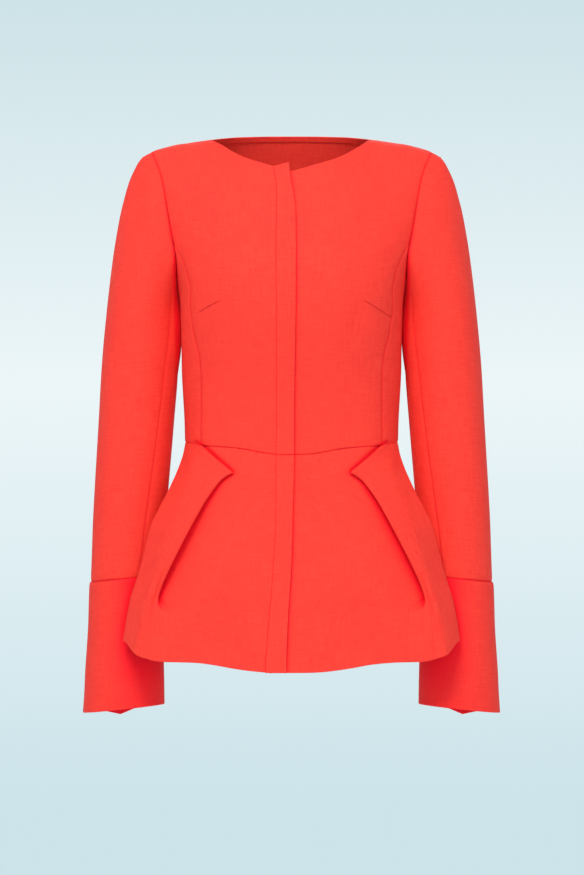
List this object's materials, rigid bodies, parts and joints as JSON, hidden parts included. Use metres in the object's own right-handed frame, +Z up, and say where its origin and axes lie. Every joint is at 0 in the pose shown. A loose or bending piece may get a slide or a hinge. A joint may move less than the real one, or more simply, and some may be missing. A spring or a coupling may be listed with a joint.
{
  "type": "fitted peplum jacket",
  "caption": "Fitted collarless women's jacket with round neck, hidden front closing, long seamed sleeves with flared cuffs and a flared peplum folded over at each hip, in worn form.",
  "frame": {"origin": "between the two shoulder seams at the height of the neck's sides, where the wearer's shoulders hold the jacket", "axes": "+Z up, -Y out of the jacket's front, +X to the wearer's left"},
  "size_m": [0.53, 0.2779, 0.7478],
  "materials": {
    "crepe": "matt red wool crepe with a fine weave"
  },
  "bodies": {
    "root": {"front_right": "crepe", "front_left": "crepe", "front_strip_upper": "crepe", "front_strip_lower": "crepe", "side_right": "crepe", "side_left": "crepe", "back": "crepe", "peplum_front_right": "crepe", "peplum_front_left": "crepe", "peplum_back": "crepe", "upper_sleeve_right": "crepe", "upper_sleeve_left": "crepe", "under_sleeve_right": "crepe", "under_sleeve_left": "crepe", "cuff_right": "crepe", "cuff_left": "crepe"}
  },
  "joints": []
}
